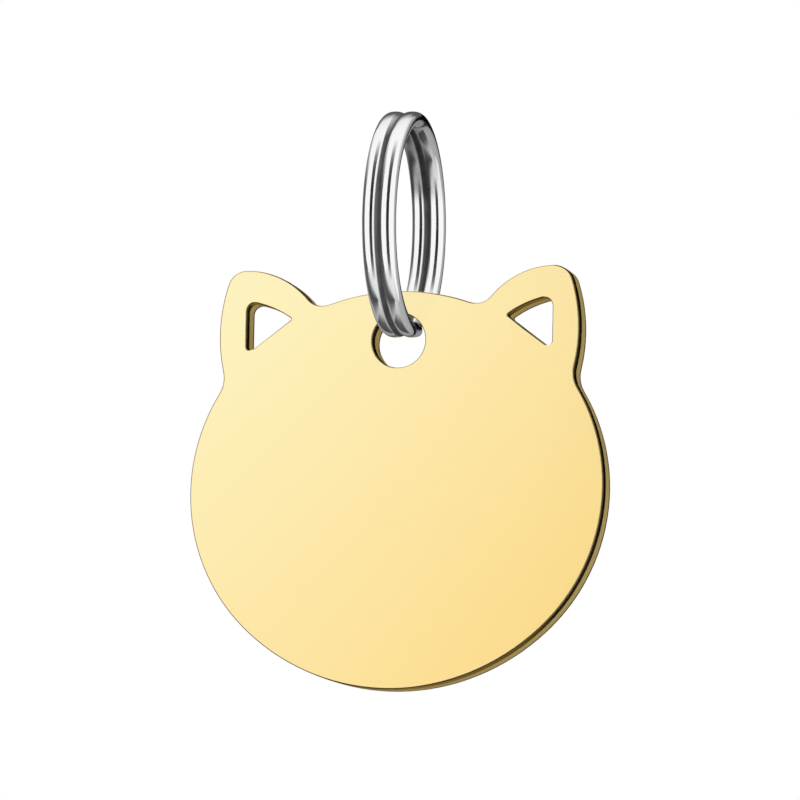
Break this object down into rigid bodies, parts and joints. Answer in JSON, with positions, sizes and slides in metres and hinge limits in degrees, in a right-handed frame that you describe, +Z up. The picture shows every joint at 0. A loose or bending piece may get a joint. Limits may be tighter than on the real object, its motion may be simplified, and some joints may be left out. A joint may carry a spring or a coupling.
{
  "type": "pet id tag",
  "caption": "Flat polished metal pet tag cut in the outline of a cat's head, with an open window in each ear, hung by a hole on a wound split ring.",
  "frame": {"origin": "highest point inside the split ring's eye, midway between its turns, where a collar's loop bears", "axes": "+Z up towards the collar, -Y out of the plate's front face, +X to the right of someone who faces the front"},
  "size_m": [0.0282, 0.015, 0.0386],
  "materials": {
    "ring_steel": "polished",
    "plate_gold": "polished"
  },
  "bodies": {
    "ring": {"split_ring": "ring_steel"},
    "plate": {"tag_plate": "plate_gold"}
  },
  "joints": [
    {"name": "plate_swing", "type": "hinge", "parent": "ring", "child": "plate", "pos_m": [0, 0, -0.01439], "axis": [0, 1, 0], "range_deg": [-105, 105]}
  ]
}
